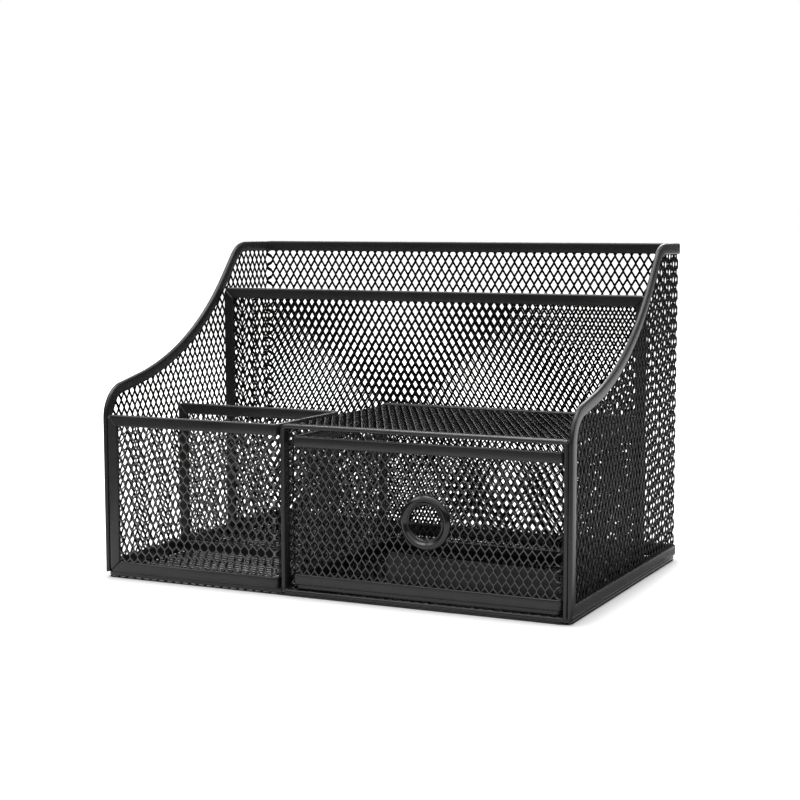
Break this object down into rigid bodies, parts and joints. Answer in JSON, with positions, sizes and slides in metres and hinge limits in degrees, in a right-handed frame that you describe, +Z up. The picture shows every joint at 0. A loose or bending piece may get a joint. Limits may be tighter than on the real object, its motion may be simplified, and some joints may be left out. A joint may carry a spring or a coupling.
{
  "type": "pen stand with drawer",
  "caption": "Black steel mesh desk organizer with a hemmed pen pot, a letter slot behind, and a low deck over a pull-out drawer with a round finger ring.",
  "frame": {"origin": "middle of the footprint's bounding box, on the table", "axes": "+X towards the stand's right as its user faces the drawer, +Y towards the back, +Z up; the drawer pulls out along -Y"},
  "size_m": [0.21, 0.1358, 0.141],
  "materials": {
    "black_mesh": "satin powder coat over expanded steel mesh",
    "black_strip": "satin powder coat over folded steel strip",
    "black_eyelet": "satin powder coat over drawn steel"
  },
  "bodies": {
    "stand": {"back_base_hem": "black_strip", "back_mesh": "black_mesh", "back_top_hem": "black_strip", "floor_tray": "black_mesh", "left_base_hem": "black_strip", "left_side_hem": "black_strip", "left_side_mesh": "black_mesh", "partition_hem": "black_strip", "partition_mesh": "black_mesh", "pot_base_hem": "black_strip", "pot_divider_end_hem": "black_strip", "pot_divider_mesh": "black_mesh", "pot_front_end_hem": "black_strip", "pot_front_mesh": "black_mesh", "pot_side_mesh": "black_mesh", "pot_top_hem": "black_strip", "right_base_hem": "black_strip", "right_side_hem": "black_strip", "right_side_mesh": "black_mesh", "sleeve_deck_mesh": "black_mesh", "sleeve_floor_mesh": "black_mesh", "sleeve_front_hem": "black_strip", "sleeve_left_mesh": "black_mesh", "sleeve_rear_hem": "black_strip", "sleeve_right_mesh": "black_mesh"},
    "drawer": {"drawer_back_mesh": "black_mesh", "drawer_base_hem": "black_strip", "drawer_floor_tray": "black_mesh", "drawer_front_mesh": "black_mesh", "drawer_left_mesh": "black_mesh", "drawer_right_mesh": "black_mesh", "drawer_top_hem": "black_strip", "pull_eyelet": "black_eyelet", "pull_washer": "black_eyelet"}
  },
  "joints": [
    {"name": "drawer_slide", "type": "slide", "parent": "stand", "child": "drawer", "axis": [0, -1, 0], "range_m": [0, 0.075]}
  ]
}
